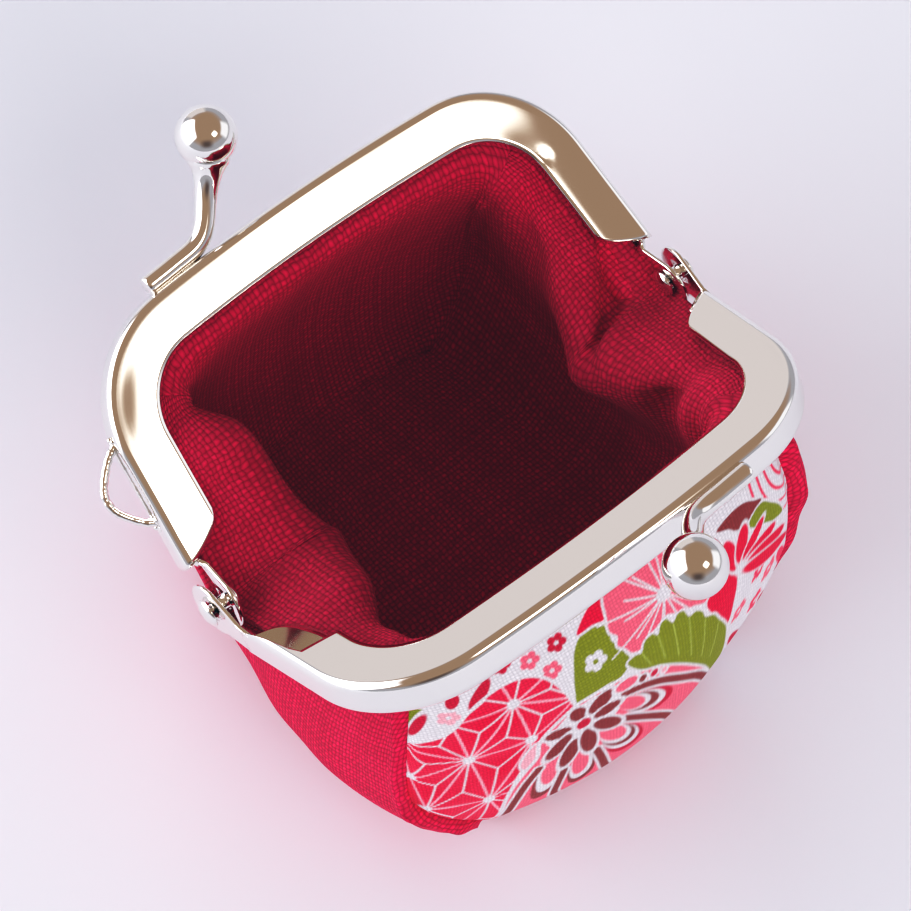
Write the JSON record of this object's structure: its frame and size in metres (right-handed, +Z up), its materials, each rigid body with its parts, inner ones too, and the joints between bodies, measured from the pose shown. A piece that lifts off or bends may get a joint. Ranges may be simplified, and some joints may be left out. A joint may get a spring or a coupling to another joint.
{
  "type": "snap-frame coin purse",
  "caption": "Small cloth coin purse standing open on its base, with a nickel snap frame, ball clasp and strap loop, printed cotton faces, and red canvas sides and lining.",
  "frame": {"origin": "on the surface that the purse stands on, under the middle of the hinge axis", "axes": "+Z up, +X along the hinge axis, +Y towards the back half of the frame"},
  "size_m": [0.0634, 0.0708, 0.0529],
  "materials": {
    "metal": "polished nickel plate",
    "print": "printed plain-weave cotton",
    "canvas": "matt plain-weave canvas"
  },
  "bodies": {
    "root": {"frame_back": "metal", "frame_front": "metal", "rivet_left": "metal", "rivet_right": "metal", "panel_front": "print", "panel_back": "print", "gusset": "canvas", "lining_front": "canvas", "lining_back": "canvas", "lining_gusset": "canvas"}
  },
  "joints": []
}
